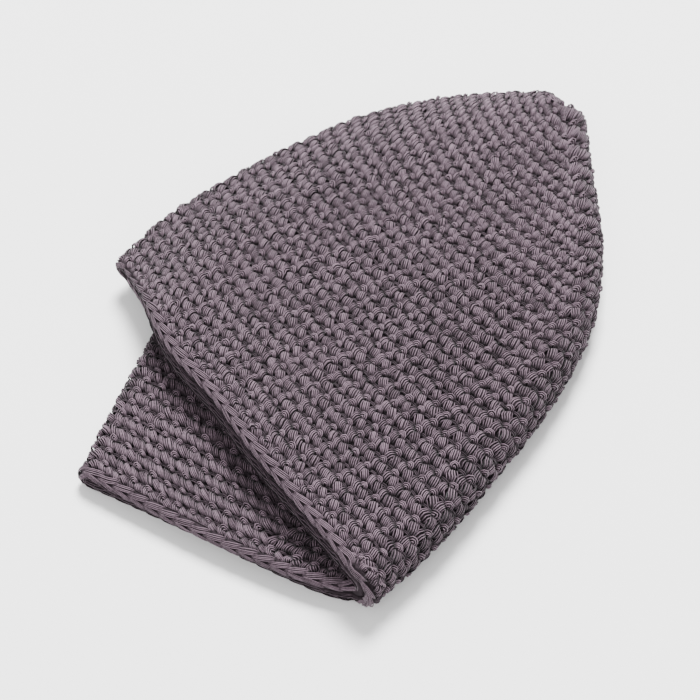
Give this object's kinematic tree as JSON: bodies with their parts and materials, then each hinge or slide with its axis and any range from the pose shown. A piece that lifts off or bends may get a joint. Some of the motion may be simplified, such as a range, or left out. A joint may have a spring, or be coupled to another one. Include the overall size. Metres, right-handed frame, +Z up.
{
  "type": "crocheted kufi cap, folded flat",
  "caption": "Brimless skullcap crocheted in thick cotton, pressed flat and folded once lengthwise as it is stored.",
  "frame": {"origin": "on the surface that the folded cap lies on, under the middle of its box", "axes": "+Z up from the surface, +Y from the mouth towards the crown and square to the upper half's edge, +X towards the soft fold that joins the two halves"},
  "size_m": [0.1662, 0.2158, 0.0247],
  "materials": {
    "crochet_cotton": "matt mauve-grey cotton yarn in thick single crochet, its plies showing",
    "edging_cotton": "the same matt cotton yarn, in one braid-like round of slip stitches"
  },
  "bodies": {
    "root": {"crown_and_sides": "crochet_cotton", "mouth_edging": "edging_cotton"}
  },
  "joints": []
}
